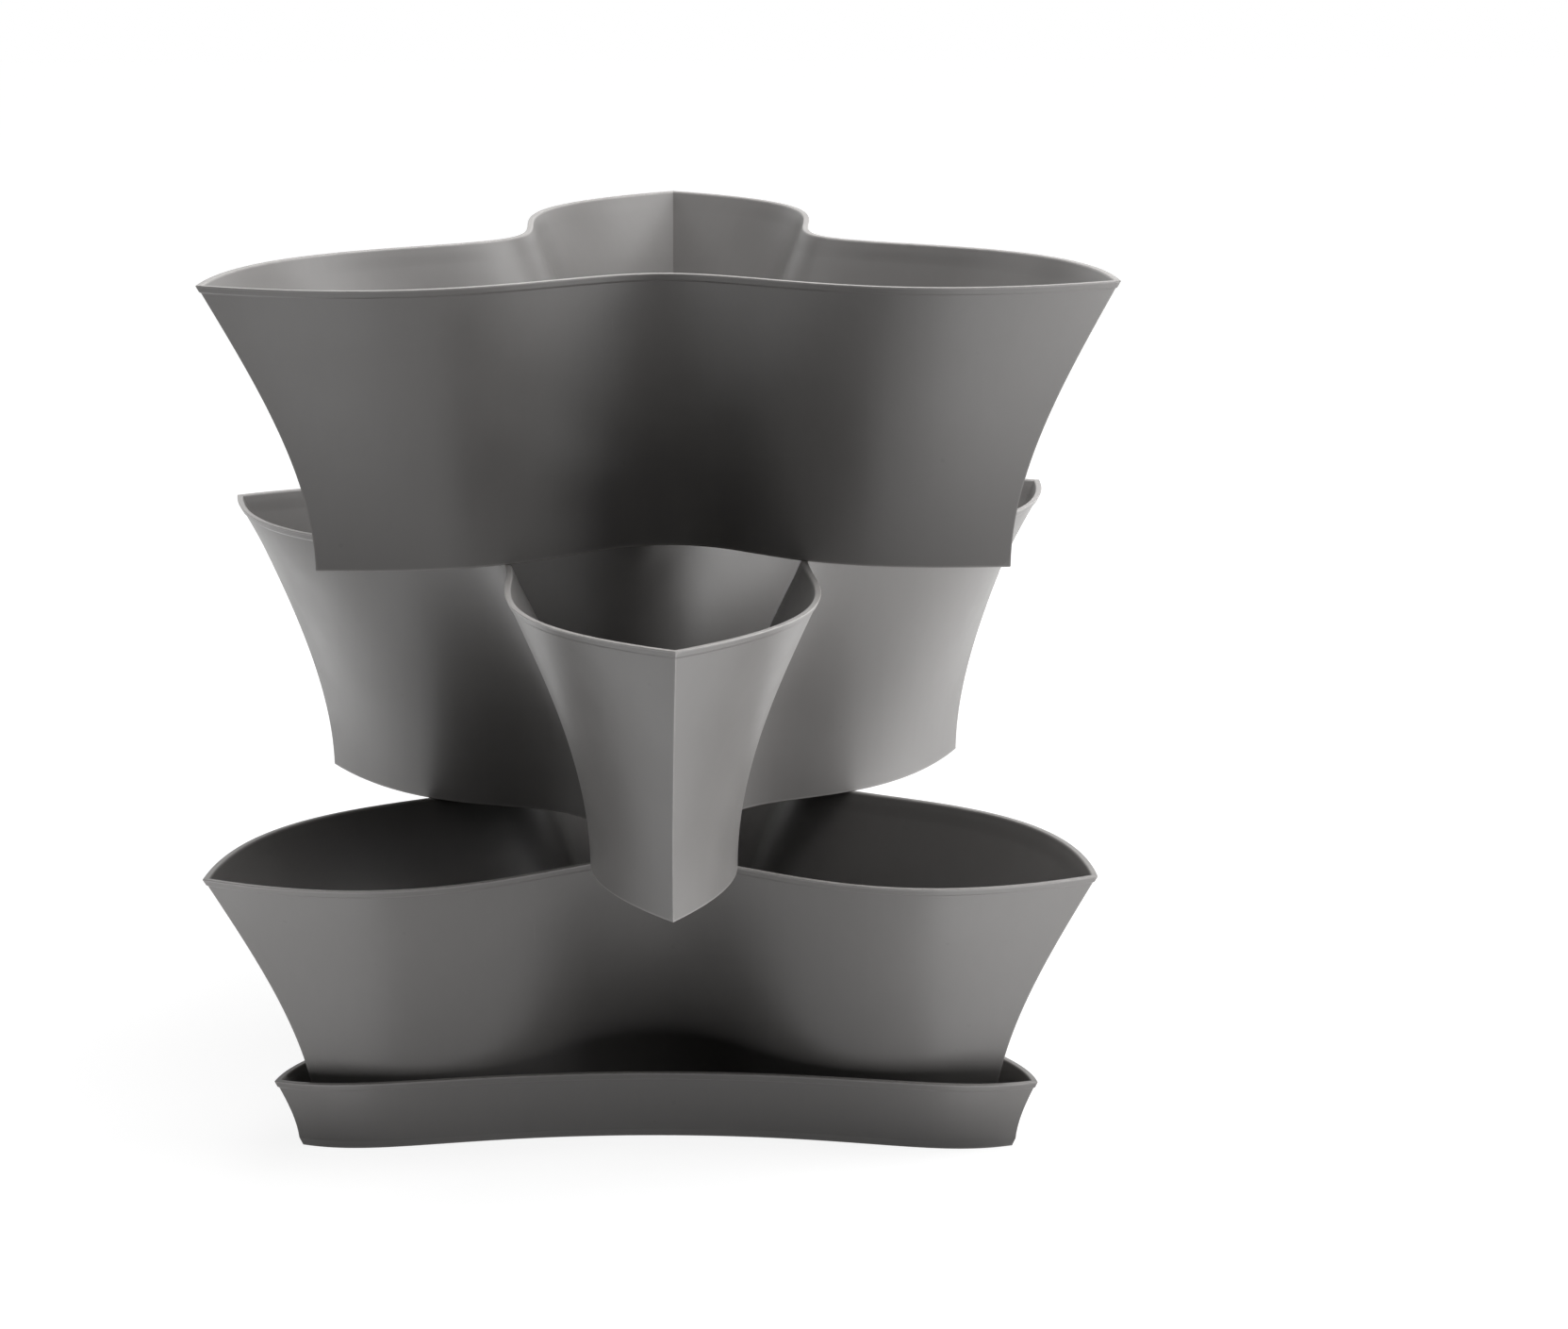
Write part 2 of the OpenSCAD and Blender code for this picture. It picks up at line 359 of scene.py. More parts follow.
class Surface:
    """Vertices, faces and the edge layer of a mesh while it is put together."""

    def __init__(self) -> None:
        """Starts an empty surface."""
        self.places: list[Sequence[float]] = []
        self.faces: list[Sequence[int]] = []
        self.edge: list[float] = []
        self.creases: set[tuple[int, int]] = set()

    def add(self, places: np.ndarray, edge: float | np.ndarray = 0.0) -> list[int]:
        """Adds vertices.

        Args:
            places: Rows of x, y and z.
            edge: How much each one lies on a worn edge, 0 to 1.

        Returns:
            Their numbers.
        """
        first = len(self.places)
        self.places.extend(places.tolist())
        self.edge.extend(np.broadcast_to(edge, len(places)).tolist())
        return list(range(first, len(self.places)))

    def loft(self, rings: Sequence[Sequence[int]]) -> None:
        """Joins closed rings, each to the next, with four-sided faces.

        Args:
            rings: Vertex numbers of each ring, anticlockwise from outside going up.
        """
        for lower, upper in zip(rings[:-1], rings[1:]):
            count = len(lower)
            for j in range(count):
                k = (j + 1) % count
                self.faces.append((lower[j], lower[k], upper[k], upper[j]))

    def crease(self, line: Sequence[int]) -> None:
        """Marks a line of vertices as a sharp crease.

        Args:
            line: Vertex numbers in order.
        """
        self.creases.update((min(a, b), max(a, b)) for a, b in zip(line[:-1], line[1:]))

    def fill(self, outer: Sequence[int], holes: Sequence[Sequence[int]], up: bool) -> None:
        """Fills a level outline, round its holes.

        Args:
            outer: Vertex numbers of the outline.
            holes: Vertex numbers of each hole.
            up: Whether the face looks up.
        """
        loops = [outer, *holes]
        flat = [n for loop in loops for n in loop]
        spots = [[Vector((self.places[n][0], self.places[n][1], 0)) for n in loop] for loop in loops]
        for a, b, c in tessellate_polygon(spots):
            p, q, r = (Vector(self.places[flat[i]]) for i in (a, b, c))
            looks_up = (q - p).cross(r - p).z > 0
            order = (a, b, c) if looks_up == up else (a, c, b)
            self.faces.append(tuple(flat[i] for i in order))

    def to_object(self, name: str) -> bpy.types.Object:
        """Makes the object.

        Args:
            name: Name of the piece.

        Returns:
            A smooth-shaded object with sharp creases, at the origin.
        """
        mesh = bpy.data.meshes.new(name)
        mesh.from_pydata(self.places, [], self.faces)
        mesh.validate()
        mesh.polygons.foreach_set("use_smooth", [True] * len(mesh.polygons))
        for edge in mesh.edges:
            edge.use_edge_sharp = tuple(sorted(edge.vertices)) in self.creases
        layer = mesh.attributes.new(EDGE_LAYER, "FLOAT", "POINT")
        layer.data.foreach_set("value", self.edge)
        return linked(name, mesh)


@dataclass(frozen=True)
class Detail:
    """How finely a moulding is made.

    Attributes:
        steps: Straight runs in half a lobe.
        bias: Above 1 the points lie closer together near the ridges.
        bands: Bands of a wall between its edges.
        corner_steps: Straight runs in a round corner.
        guard: How far from a corner the nearest ring lies, which keeps the corner crisp.
        flat_guard: The same for the rings on the floor and the underside.
    """

    steps: int = 52
    bias: float = 1.45
    bands: int = 32
    corner_steps: int = 5
    guard: float = 0.25 * MM
    flat_guard: float = 0.6 * MM


@dataclass(frozen=True)
class Rubbing:
    """How much the places of a moulding lie on an edge that gets rubbed, 0 to 1.

    Attributes:
        reach: Height over which it fades from the rim down and from the foot up.
        ridge: At a ridge, outside.
        ridge_width: Share of a half lobe over which it fades from the ridge.
        underside: Round the underside.
        drain: At a drain hole.
        pad: At the saucer's pad.
        ribs: At the saucer's ribs.
    """

    # These edge values also place the painted highlight on the crests of rims, ridges and feet.
    reach: float = 3 * MM
    ridge: float = 0.8
    ridge_width: float = 0.012
    underside: float = 0.5
    drain: float = 0.3
    pad: float = 0.4
    ribs: float = 0.2


@dataclass
class Moulding:
    """A thin-walled tray or pot with three lobes, moulded in one piece.

    Attributes:
        body: The body that it is.
        nodes: The nodes that it stands for, from the one with its foot to the one with its rim.
        heading: About where its first lobe points.
        base: Outline at its foot.
        rim: Outline at its rim.
        height: Height from the foot to the rim.
        floor: Thickness of the floor.
        wall: Thickness of the wall.
        foot: Height of the floor's underside above the lowest point.
        flare_ease: How much the flare eases off towards the rim.
        base_round: Radius of the edge round the underside.
        fillet: Radius between the wall and the floor, inside.
        lip_height: Height of the lip that stands out round the rim.
        lip_out: How far the lip stands out.
        band_height: Height of the thicker band inside the rim.
        band_in: How far the band stands in.
        band_ease: Height over which the band runs out into the wall.
        rim_round: Radius of the edges of the rim.
        detail: How finely it is made.
        rubbing: Where its edges get rubbed.
    """

    body: str
    nodes: tuple[str, ...]
    heading: Heading
    base: Outline
    rim: Outline
    height: float
    floor: float
    wall: float = 1.9 * MM
    foot: float = 0.0
    flare_ease: float = 0.53
    base_round: float = 0.6 * MM
    fillet: float = 3 * MM
    lip_height: float = 3 * MM
    lip_out: float = 0.5 * MM
    band_height: float = 5.9 * MM
    band_in: float = 0.3 * MM
    band_ease: float = 4.5 * MM
    rim_round: float = 0.45 * MM
    detail: Detail = Detail()
    rubbing: Rubbing = Rubbing()

    def __post_init__(self) -> None:
        """Reads the seat from the frame."""
        self.seat = Seat.of_nodes(self.nodes[0], self.nodes[-1], self.heading)

    def outline_at(self, height: float) -> Outline:
        """Returns the outline at a height above the seat."""
        t = height / self.height
        return self.base.toward(self.rim, (1 + self.flare_ease) * t**2 - self.flare_ease * t**3)

    def ring(self, inset: float, height: float) -> np.ndarray:
        """Points of one ring of the moulding, in place.

        Args:
            inset: Distance inward from the outer face.
            height: Height above the seat.

        Returns:
            Rows of x, y and z.
        """
        flat = self.outline_at(height).ring(inset, self.detail.steps, self.detail.bias)
        return self.seat.place(flat, height)

    def outer_section(self) -> Section:
        """Returns the section from the underside up to the top of the rim."""
        edge, out, top, guard = self.rim_round, self.lip_out, self.height, self.detail.guard
        lip_foot = top - self.lip_height
        bend_start = lip_foot - LIP_BEND[0] * out
        bend_end = lip_foot + LIP_BEND[1] * out
        foot = self.foot_section()
        return [
            *foot,
            *((0.0, z) for z in guarded(foot[-1][1], bend_start, self.detail.bands, guard)[1:]),
            *((-out * share, lip_foot - out * (1 - share)) for share in BEND_SHARES),
            (-out, bend_end),
            (-out, bend_end + guard),
            (-out, top - edge - guard),
            *corner((edge - out, top - edge), edge, 180, 90, self.detail.corner_steps),
            (edge - out + guard, top),
        ]

    def foot_section(self) -> Section:
        """Returns the section from the underside round to the lowest point of the wall."""
        r = self.base_round
        return corner((r, self.foot + r), r, 270, 180, self.detail.corner_steps)

    def inner_section(self) -> Section:
        """Returns the section from the top of the rim down to the floor."""
        edge, top, r = self.rim_round, self.height, self.fillet
        n, guard, ease = self.detail.corner_steps, self.detail.guard, self.band_ease
        thick = self.wall + self.band_in
        band_foot = top - self.band_height
        bend = BAND_BEND * ease
        floor_top = self.foot + self.floor
        walls = guarded(band_foot - bend, floor_top + r, self.detail.bands, guard)
        bends = [
            (self.wall + self.band_in * share, band_foot + ease * (share - 0.5))
            for share in reversed(BEND_SHARES)
        ]
        return [
            (thick - edge - guard, top),
            *corner((thick - edge, top - edge), edge, 90, 0, n),
            (thick, top - edge - guard),
            (thick, band_foot + bend + guard),
            (thick, band_foot + bend),
            *bends,
            *((self.wall, z) for z in walls),
            *corner((self.wall + r, floor_top + r), r, 180, 270, n)[1:],
        ]

    def edge_of(self, height: float, outside: bool) -> float:
        """How much a ring lies on an edge that gets rubbed.

        Args:
            height: Height of the ring above the seat.
            outside: Whether it is on the outer face.

        Returns:
            From 0 to 1.
        """
        from_rim = self.height - height
        from_foot = height if outside else math.inf
        return max(0.0, 1 - min(from_rim, from_foot) / self.rubbing.reach)

    def ridge_wear(self) -> np.ndarray:
        """Returns how much each point of a ring lies on a ridge that gets rubbed."""
        steps = self.detail.steps
        places = np.arange(2 * steps * LOBES) % (2 * steps)
        off = np.minimum(places, 2 * steps - places) / steps
        near = np.clip(1 - off**self.detail.bias / self.rubbing.ridge_width, 0, 1)
        return near * self.rubbing.ridge

    def shell(self, surface: Surface) -> tuple[list[int], list[int]]:
        """Adds the walls with their rims and corners.

        Args:
            surface: What they are added to.

        Returns:
            The ring round the underside and the ring round the floor.
        """
        outer, inner = self.outer_section(), self.inner_section()
        flat_guard = self.detail.flat_guard
        inset, height = outer[0]
        rings = [surface.add(self.ring(inset + flat_guard, height), self.rubbing.underside)]
        for section, outside, ridges in ((outer, True, self.ridge_wear()), (inner, False, 0.0)):
            for inset, height in section:
                edge = np.maximum(self.edge_of(height, outside), ridges)
                rings.append(surface.add(self.ring(inset, height), edge))
        inset, height = inner[-1]
        rings.append(surface.add(self.ring(inset + flat_guard, height)))
        surface.loft(rings)
        for lobe in range(LOBES):
            ridge = 2 * self.detail.steps * lobe
            surface.crease([ring[ridge] for ring in rings])
        return rings[0], rings[-1]

    def round_wall(
        self,
        surface: Surface,
        section: Section,
        steps: int,
        edge: float,
        centre: Sequence[float] | np.ndarray = (0.0, 0.0),
    ) -> list[list[int]]:
        """Adds a round wall, which looks at its axis where it goes up and away from it going down.

        Args:
            surface: What it is added to.
            section: Radius and height of each of its rings.
            steps: Straight runs round it.
            edge: How much it lies on a worn edge, 0 to 1.
            centre: Where its axis is, with the first lobe on +X.

        Returns:
            The vertex numbers of each ring.
        """
        unit = circle(steps)
        rings = [surface.add(self.seat.place(radius * unit + centre, z), edge) for radius, z in section]
        surface.loft([ring[::-1] for ring in rings])
        return rings

    def close(self, surface: Surface, under: list[int], floor: list[int]) -> None:
        """Closes the underside and the floor.

        Args:
            surface: What they are added to.
            under: Ring round the underside.
            floor: Ring round the floor.
        """
        surface.fill(under, [], False)
        surface.fill(floor, [], True)

    def build(self) -> bpy.types.Object:
        """Builds the piece and sets it in the frame, in place of its nodes.

        Returns:
            The finished object, without a material.
        """
        surface = Surface()
        under, floor = self.shell(surface)
        self.close(surface, under, floor)
        piece = surface.to_object(f"{self.body}_moulding")
        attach(piece, self.body)
        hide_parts(*self.nodes)
        LOG.info("%s: %d faces at %.1f, %.1f mm", piece.name, len(piece.data.polygons),
                 self.seat.x / MM, self.seat.y / MM)
        return piece

    def dress(self, piece: bpy.types.Object, seed: Place) -> None:
        """Gives the piece its plastic.

        Args:
            piece: The piece.
            seed: How far the textures are moved.
        """
        piece.data.materials.append(MouldedPlastic(f"{self.body}_plastic", seed).build())


@dataclass
class Pot(Moulding):
    """One pot of the tower, with a drain hole in the floor of each lobe.

    Attributes:
        drain: Diameter of a drain hole.
        drain_at: Distance from the axis to each drain hole.
        drain_round: Radius of the edges of a drain hole.
        drain_steps: Straight runs round a drain hole.
    """

    base: Outline = Outline(176.4 * MM, 38 * MM, 36, 108 * MM, 45 * MM)
    rim: Outline = Outline(226.4 * MM, 83.5 * MM, 57.4, 124 * MM, 44 * MM)
    height: float = 130 * MM
    floor: float = 2.4 * MM
    drain: float = 8 * MM
    drain_at: float = 55 * MM
    drain_round: float = 0.4 * MM
    drain_steps: int = 48

    def close(self, surface: Surface, under: list[int], floor: list[int]) -> None:
        """Closes the underside and the floor round the drain holes.

        Args:
            surface: What they are added to.
            under: Ring round the underside.
            floor: Ring round the floor.
        """
        r, edge, n = self.drain / 2, self.drain_round, self.detail.corner_steps
        bottom, top = self.foot, self.foot + self.floor
        section = [
            (r + 2 * edge, bottom),
            *corner((r + edge, bottom + edge), edge, 270, 180, n),
            *corner((r + edge, top - edge), edge, 180, 90, n),
            (r + 2 * edge, top),
        ]
        lower_holes = []
        upper_holes = []
        for lobe in range(LOBES):
            centre = turned(np.array([[self.drain_at, 0.0]]), lobe * LOBE_ANGLE)
            rings = self.round_wall(surface, section, self.drain_steps, self.rubbing.drain, centre)
            lower_holes.append(rings[0])
            upper_holes.append(rings[-1])
        surface.fill(under, lower_holes, False)
        surface.fill(floor, upper_holes, True)


@dataclass
class Saucer(Moulding):
    """The saucer, with the ribs that carry the lowest pot, its foot and its centre pad.

    Attributes:
        foot_in: How far the foot lies in from the side.
        foot_width: Width of the foot.
        toe_height: Height up to which the side slopes in to the foot.
        foot_round: Radius of the edges of the foot and the pad.
        pad: Radius of the pad under the centre.
        rib_height: Height of the ribs.
        rib_width: Width of a rib.
        rib_pitch: Distance between the two ribs under a lobe.
        rib_end: Distance from the axis to the outer end of a rib.
        rib_ring: Radius of the ring that joins the ribs, to its middle.
        rib_round: Radius of the upper edges of a rib.
        round_steps: Straight runs round the pad and round the inside of the ring.
        arc_steps: Straight runs in each part of the ring between two ribs.
    """

    base: Outline = Outline(187.2 * MM, 82.2 * MM, 52, 41 * MM, 91 * MM)
    rim: Outline = Outline(197.7 * MM, 88.3 * MM, 52, 41 * MM, 91 * MM)
    height: float = 33 * MM
    floor: float = 1.9 * MM
    foot: float = 0.6 * MM
    foot_in: float = 1.2 * MM
    foot_width: float = 2.5 * MM
    toe_height: float = 3.8 * MM
    foot_round: float = 0.25 * MM
    pad: float = 12 * MM
    rib_height: float = 0.9 * MM
    rib_width: float = 2 * MM
    rib_pitch: float = 24 * MM
    rib_end: float = 140.4 * MM
    rib_ring: float = 30 * MM
    rib_round: float = 0.35 * MM
    round_steps: int = 96
    arc_steps: int = 10

    def foot_section(self) -> Section:
        """Returns the section from inside the foot, round it and up the sloping toe."""
        edge, n, guard = self.foot_round, self.detail.corner_steps, self.detail.guard
        inner = self.foot_in + self.foot_width
        slope = self.foot_in / self.toe_height
        toe = [edge, 2 * edge, self.toe_height - 2 * guard, self.toe_height - guard / 2]
        return [
            (inner + edge, self.foot),
            (inner, self.foot - edge),
            *corner((inner - edge, edge), edge, 360, 270, n),
            (self.foot_in + 2 * edge, 0.0),
            (self.foot_in + edge / 2, 0.0),
            (self.foot_in, edge / 4),
            *((self.foot_in - slope * z, z) for z in toe),
            (0.0, self.toe_height + guard / 2),
        ]

    def close(self, surface: Surface, under: list[int], floor: list[int]) -> None:
        """Closes the underside with its pad, and the floor with its ribs.

        Args:
            surface: What they are added to.
            under: Ring round the underside.
            floor: Ring round the floor.
        """
        n, foot, soft = self.detail.corner_steps, self.foot, self.foot_round
        pad_edge = corner((self.pad - soft, soft), soft, 0, -90, n)
        pad = [(self.pad + soft, foot), (self.pad, foot - soft), *pad_edge]
        pad_rings = self.round_wall(surface, pad, self.round_steps, self.rubbing.pad)
        surface.fill(pad_rings[-1], [], False)
        surface.fill(under, [pad_rings[0]], False)
        outline, edge, mark = self.rib_outline(), self.rib_round, self.rubbing.ribs
        top = foot + self.floor
        rises = [(0.0, top), *corner((edge, top + self.rib_height - edge), edge, 180, 90, n)]
        outer = [surface.add(self.seat.place(shrunk(outline, inset), z), mark) for inset, z in rises]
        surface.loft(outer)
        well = self.rib_ring - self.rib_width / 2
        wells = self.round_wall(surface, [(well + inset, z) for inset, z in rises], self.round_steps, mark)
        surface.fill(outer[-1], [wells[-1]], True)
        surface.fill(floor, [outer[0]], True)
        surface.fill(wells[0], [], True)

    def rib_outline(self) -> np.ndarray:
        """Returns the outer outline of the ring with its ribs, anticlockwise, rows of x and y."""
        radius = self.rib_ring + self.rib_width / 2
        inner = self.rib_pitch / 2 - self.rib_width / 2
        outer = inner + self.rib_width
        rows: Section = []
        for side in (-1, 1):
            near, far = (outer, inner) if side < 0 else (inner, outer)
            rows.append((math.sqrt(radius**2 - near**2), side * near))
            rows.append((self.rib_end, side * near))
            rows.append((self.rib_end, side * far))
            rows.append((math.sqrt(radius**2 - far**2), side * far))
            start = math.asin(side * far / radius)
            end = math.asin(inner / radius) if side < 0 else LOBE_ANGLE - math.asin(outer / radius)
            arc = np.linspace(start, end, self.arc_steps + 1)[1:-1]
            rows += [(radius * math.cos(a), radius * math.sin(a)) for a in arc]
        return np.vstack([turned(np.array(rows), lobe * LOBE_ANGLE) for lobe in range(LOBES)])


class Graph:
    """A node tree with short calls for making and joining its nodes."""

    def __init__(self, tree: bpy.types.NodeTree) -> None:
        """Takes the tree to work on.

        Args:
            tree: A material's, a world's or a group's tree.
        """
        self.tree = tree

    @classmethod
    def of(cls, owner: bpy.types.Material | bpy.types.World) -> "Graph":
        """Empties the tree of a material or a world and takes it.

        Args:
            owner: The material or world.

        Returns:
            The graph.
        """
        owner.use_nodes = True
        owner.node_tree.nodes.clear()
        return cls(owner.node_tree)

    def node(self, kind: str, values: Values | None = None, **settings: object) -> Node:
        """Adds a node.

        Args:
            kind: Its type name.
            values: Input name or number to a value or to the socket that feeds it.
            **settings: Properties of the node.

        Returns:
            The node.
        """
        made = self.tree.nodes.new(kind)
        for name, value in settings.items():
            setattr(made, name, value)
        for name, value in (values or {}).items():
            self.feed(made.inputs[name], value)
        return made

    def feed(self, socket: Socket, value: Value) -> None:
        """Links a socket to another one, or sets its value.

        Args:
            socket: The input.
            value: A number, a tuple or an output socket.
        """
        if isinstance(value, Socket):
            self.tree.links.new(value, socket)
        else:
            socket.default_value = value

    def math(self, operation: str, first: Value, second: Value, clamp: bool = False) -> Socket:
        """Adds a Math node.

        Args:
            operation: Its operation.
            first: First value or socket.
            second: Second value or socket.
            clamp: Whether the result is kept from 0 to 1.

        Returns:
            Its output.
        """
        values = {0: first, 1: second}
        return self.node("ShaderNodeMath", values, operation=operation, use_clamp=clamp).outputs[0]

    def plus(self, first: Value, second: Value, clamp: bool = False) -> Socket:
        """Returns the sum of two values."""
        return self.math("ADD", first, second, clamp)

    def less(self, first: Value, second: Value) -> Socket:
        """Returns the first value less the second."""
        return self.math("SUBTRACT", first, second)

    def times(self, first: Value, second: Value, clamp: bool = False) -> Socket:
        """Returns the product of two values."""
        return self.math("MULTIPLY", first, second, clamp)

    def larger(self, first: Value, second: Value) -> Socket:
        """Returns the larger of two values."""
        return self.math("MAXIMUM", first, second)

    def mixed(self, first: Value, second: Value, share: float) -> Socket:
        """Returns a share of the first value and the rest of the second, added up."""
        return self.plus(self.times(first, share), self.times(second, 1 - share))

    def ramp(self, value: Value, span: Span, to: Span = (0.0, 1.0)) -> Socket:
        """Maps a stretch of values smoothly to another.

        Args:
            value: The value or socket.
            span: Start and end of the stretch.
            to: Result at and before the start, and at and past the end.

        Returns:
            The mapped value.
        """
        names = ("From Min", "From Max", "To Min", "To Max", "Value")
        values = dict(zip(names, (*span, *to, value)))
        return self.node("ShaderNodeMapRange", values, interpolation_type="SMOOTHSTEP").outputs["Result"]

    def noise(self, place: Value, scale: Value, detail: float = 2.0, rough: float = 0.5) -> Socket:
        """Adds a noise texture.

        Args:
            place: Socket with the place.
            scale: Scale, as a value or a socket.
            detail: Number of finer layers.
            rough: Strength of each finer layer.

        Returns:
            Its value.
        """
        values = {"Vector": place, "Scale": scale, "Detail": detail, "Roughness": rough}
        return self.node("ShaderNodeTexNoise", values).outputs[0]

    def stretch(self, place: Value, scale: Place, turn: Place = (0.0, 0.0, 0.0)) -> Socket:
        """Scales and turns a place, so that a texture on it is drawn out.

        Args:
            place: Socket with the place.
            scale: Scale along each axis.
            turn: Angles about each axis, in radians.

        Returns:
            The new place.
        """
        return self.node("ShaderNodeMapping", {"Vector": place, "Scale": scale, "Rotation": turn}).outputs[0]


class Effect:
    """A shader node group that several materials share. Each one has a Place input.

    Attributes:
        name: Name of the group.
        amounts: Its other inputs, each with its default.
        outputs: Its outputs.
    """

    name: str = "effect"
    amounts: dict[str, float] = {}
    outputs: tuple[str, ...] = ()

    def tree(self) -> bpy.types.NodeTree:
        """Returns the group's tree, made at its first use."""
        found = bpy.data.node_groups.get(self.name)
        if found:
            return found
        tree = bpy.data.node_groups.new(self.name, "ShaderNodeTree")
        tree.interface.new_socket(name="Place", in_out="INPUT", socket_type="NodeSocketVector")
        for name, amount in self.amounts.items():
            socket = tree.interface.new_socket(name=name, in_out="INPUT", socket_type="NodeSocketFloat")
            socket.default_value = amount
        for name in self.outputs:
            tree.interface.new_socket(name=name, in_out="OUTPUT", socket_type="NodeSocketFloat")
        graph = Graph(tree)
        given = graph.node("NodeGroupInput")
        result = graph.node("NodeGroupOutput")
        for name, socket in self.make(graph, given).items():
            tree.links.new(socket, result.inputs[name])
        return tree

    def make(self, graph: Graph, given: Node) -> dict[str, Socket]:
        """Builds the inside of the group.

        Args:
            graph: The group's tree.
            given: Its input node.

        Returns:
            Output name to the socket that feeds it.
        """
        raise NotImplementedError

    def put(self, graph: Graph, values: Values) -> Node:
        """Places the group in a material.

        Args:
            graph: The material's tree.
            values: Input name to a value or a socket.

        Returns:
            The group node.
        """
        return graph.node("ShaderNodeGroup", values, node_tree=self.tree())


class MouldGrain(Effect):
    """The fine sparked grain of the mould and the soft mottle of the plastic.

    Attributes:
        broad: Scale of the broader grain, times the scale of the fine one.
        fine_share: Share of the fine grain in the height.
    """

    name = "mould_grain"
    amounts = {"Fine": 1600.0, "Coarse": 26.0}
    outputs = ("Height", "Mottle")
    broad: float = 0.31
    fine_share: float = 0.6

    def make(self, graph: Graph, given: Node) -> dict[str, Socket]:
        """Mixes two sizes of grain, and makes a broad mottle.

        Args:
            graph: The group's tree.
            given: Its input node.

        Returns:
            Output name to socket.
        """
        place, scale = given.outputs["Place"], given.outputs["Fine"]
        fine = graph.noise(place, scale, detail=3.0, rough=0.6)
        broad = graph.noise(place, graph.times(scale, self.broad))
        mottle = graph.noise(place, given.outputs["Coarse"], detail=4.0, rough=0.55)
        return {
            "Height": graph.mixed(fine, broad, self.fine_share),
            "Mottle": graph.ramp(mottle, NOISE_SPAN),
        }


class FlowMarks(Effect):
    """Faint upright streaks where the plastic ran up the walls.

    Attributes:
        wide: How the noise of the wide streaks is drawn out.
        thin: How the noise of the thin streaks is drawn out.
        wide_share: Share of the wide streaks.
    """

    name = "flow_marks"
    outputs = ("Tone",)
    wide: Place = (34.0, 34.0, 2.2)
    thin: Place = (210.0, 210.0, 3.0)
    wide_share: float = 0.65

    def make(self, graph: Graph, given: Node) -> dict[str, Socket]:
        """Draws noise out along the height.

        Args:
            graph: The group's tree.
            given: Its input node.

        Returns:
            Output name to socket.
        """
        place = given.outputs["Place"]
        wide = graph.noise(graph.stretch(place, self.wide), 1.0, detail=3.0, rough=0.55)
        thin = graph.noise(graph.stretch(place, self.thin), 1.0)
        return {"Tone": graph.ramp(graph.mixed(wide, thin, self.wide_share), NOISE_SPAN)}


class Scuffs(Effect):
    """Thin short scratches in two directions, and small dark specks.

    Attributes:
        lines: Scale and turn of the noise that each set of scratches is cut from.
        line: Noise values between which a scratch begins.
        patch_scale: Scale of the patches that have scratches.
        patch: Noise values between which a patch begins.
        cell_scale: Scale of the cells that have a speck in their middle.
        speck: Distances from the middle over which a speck ends.
        few_scale: Scale of the noise that leaves most specks out.
        few: Noise values between which specks begin.
    """

    name = "scuffs"
    amounts = {"Amount": 0.5}
    outputs = ("Mask", "Spots")
    lines: tuple[tuple[Place, Place], ...] = (
        ((620.0, 30.0, 30.0), (0.2, 0.5, 0.4)),
        ((34.0, 720.0, 26.0), (0.7, 0.1, 1.1)),
    )
    line: Span = (0.74, 0.80)
    patch_scale: float = 17.0
    patch: Span = (0.5, 0.66)
    cell_scale: float = 95.0
    speck: Span = (0.05, 0.13)
    few_scale: float = 40.0
    few: Span = (0.62, 0.68)

    def make(self, graph: Graph, given: Node) -> dict[str, Socket]:
        """Cuts thin lines and specks out of noise and cells.

        Args:
            graph: The group's tree.
            given: Its input node.

        Returns:
            Output name to socket.
        """
        place, amount = given.outputs["Place"], given.outputs["Amount"]
        drawn = [graph.noise(graph.stretch(place, *line), 1.0, detail=1.0, rough=0.4) for line in self.lines]
        lines = graph.larger(*(graph.ramp(noise, self.line) for noise in drawn))
        patch = graph.ramp(graph.noise(place, self.patch_scale), self.patch)
        values = {"Vector": place, "Scale": self.cell_scale}
        cells = graph.node("ShaderNodeTexVoronoi", values, feature="F1")
        specks = graph.ramp(cells.outputs["Distance"], self.speck, (1.0, 0.0))
        few = graph.ramp(graph.noise(place, self.few_scale, detail=1.0), self.few)
        return {
            "Mask": graph.times(graph.times(lines, patch), amount, clamp=True),
            "Spots": graph.times(graph.times(specks, few), amount, clamp=True),
        }


class EdgeWearAndHighlight(Effect):
    """Where rims, feet and ridges are rubbed, broken up by noise.

    Its Mask is the lightly rubbed band along an edge, and its Crest the pale line on the very edge, which is
    partly rubbed plastic and partly a painted highlight.

    Attributes:
        scale: Scale of the noise.
        raggedness: How strongly the noise moves the border of the band.
        band: Sums of edge and noise between which the band begins.
        crest: Edge values between which the crest begins.
        gaps: Noise values between which the crest goes from weak to full.
        crest_strength: Strength of the crest where it is weak and where it is full.
    """

    name = "edge_wear_and_highlight"
    amounts = {"Edge": 0.0, "Amount": 0.5}
    outputs = ("Mask", "Crest")
    scale: float = 120.0
    raggedness: float = 1.4
    band: Span = (0.72, 1.15)
    crest: Span = (0.6, 0.95)
    gaps: Span = (0.2, 0.6)
    crest_strength: Span = (0.7, 1.0)

    def make(self, graph: Graph, given: Node) -> dict[str, Socket]:
        """Breaks up the edge layer.

        Args:
            graph: The group's tree.
            given: Its input node.

        Returns:
            Output name to socket.
        """
        edge = given.outputs["Edge"]
        rough = graph.noise(given.outputs["Place"], self.scale, detail=4.0, rough=0.65)
        worn = graph.plus(edge, graph.times(graph.less(rough, 0.5), self.raggedness))
        broken = graph.ramp(rough, self.gaps, self.crest_strength)
        return {
            "Mask": graph.times(graph.ramp(worn, self.band), given.outputs["Amount"], clamp=True),
            # The crest is partly rubbed plastic and partly a painted highlight along the very edge.
            "Crest": graph.times(graph.ramp(edge, self.crest), broken),
        }


